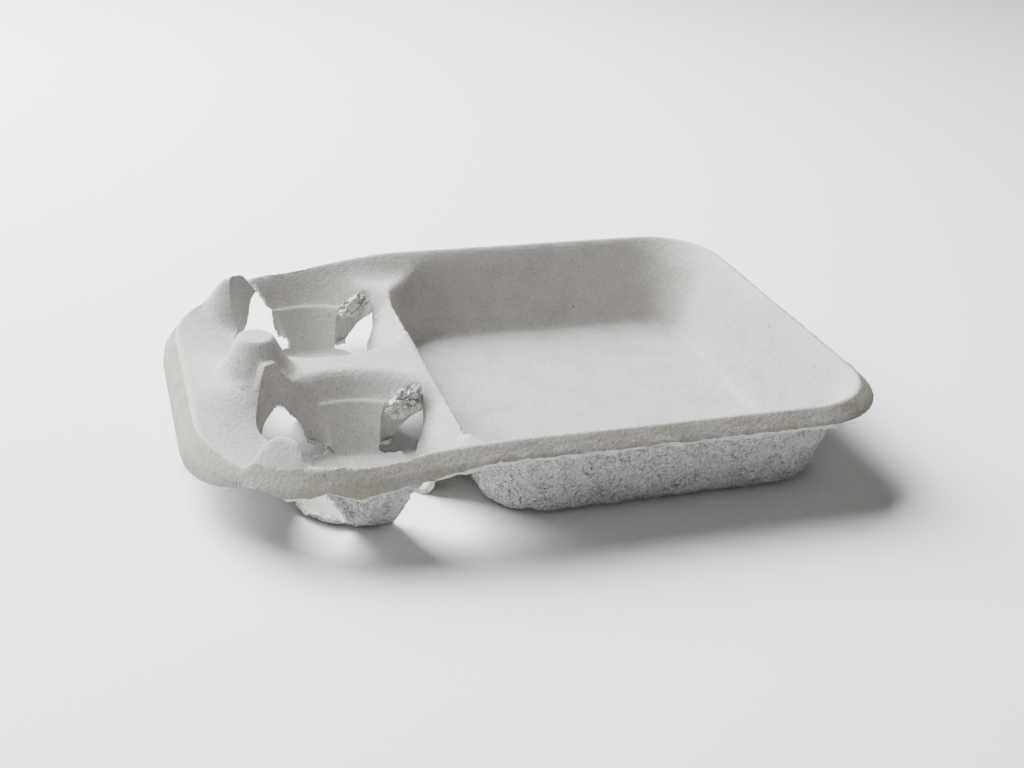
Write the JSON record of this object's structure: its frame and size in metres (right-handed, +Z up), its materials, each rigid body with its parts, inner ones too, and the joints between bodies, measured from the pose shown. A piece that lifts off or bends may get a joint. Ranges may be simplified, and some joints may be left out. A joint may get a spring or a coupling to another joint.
{
  "type": "moulded pulp cup carrier tray",
  "caption": "One-piece moulded pulp carry tray with a rectangular food pan beside cup wells that have raised posts and torn-open corner arches",
  "frame": {"origin": "under the middle of the tray, on the plane it rests on", "axes": "+Z up, food pan towards +X, cup wells towards -X"},
  "size_m": [0.3118, 0.23, 0.0545],
  "materials": {
    "pulp": "matt moulded grey pulp, smooth above, felted below"
  },
  "bodies": {
    "root": {"moulded_tray": "pulp"}
  },
  "joints": []
}
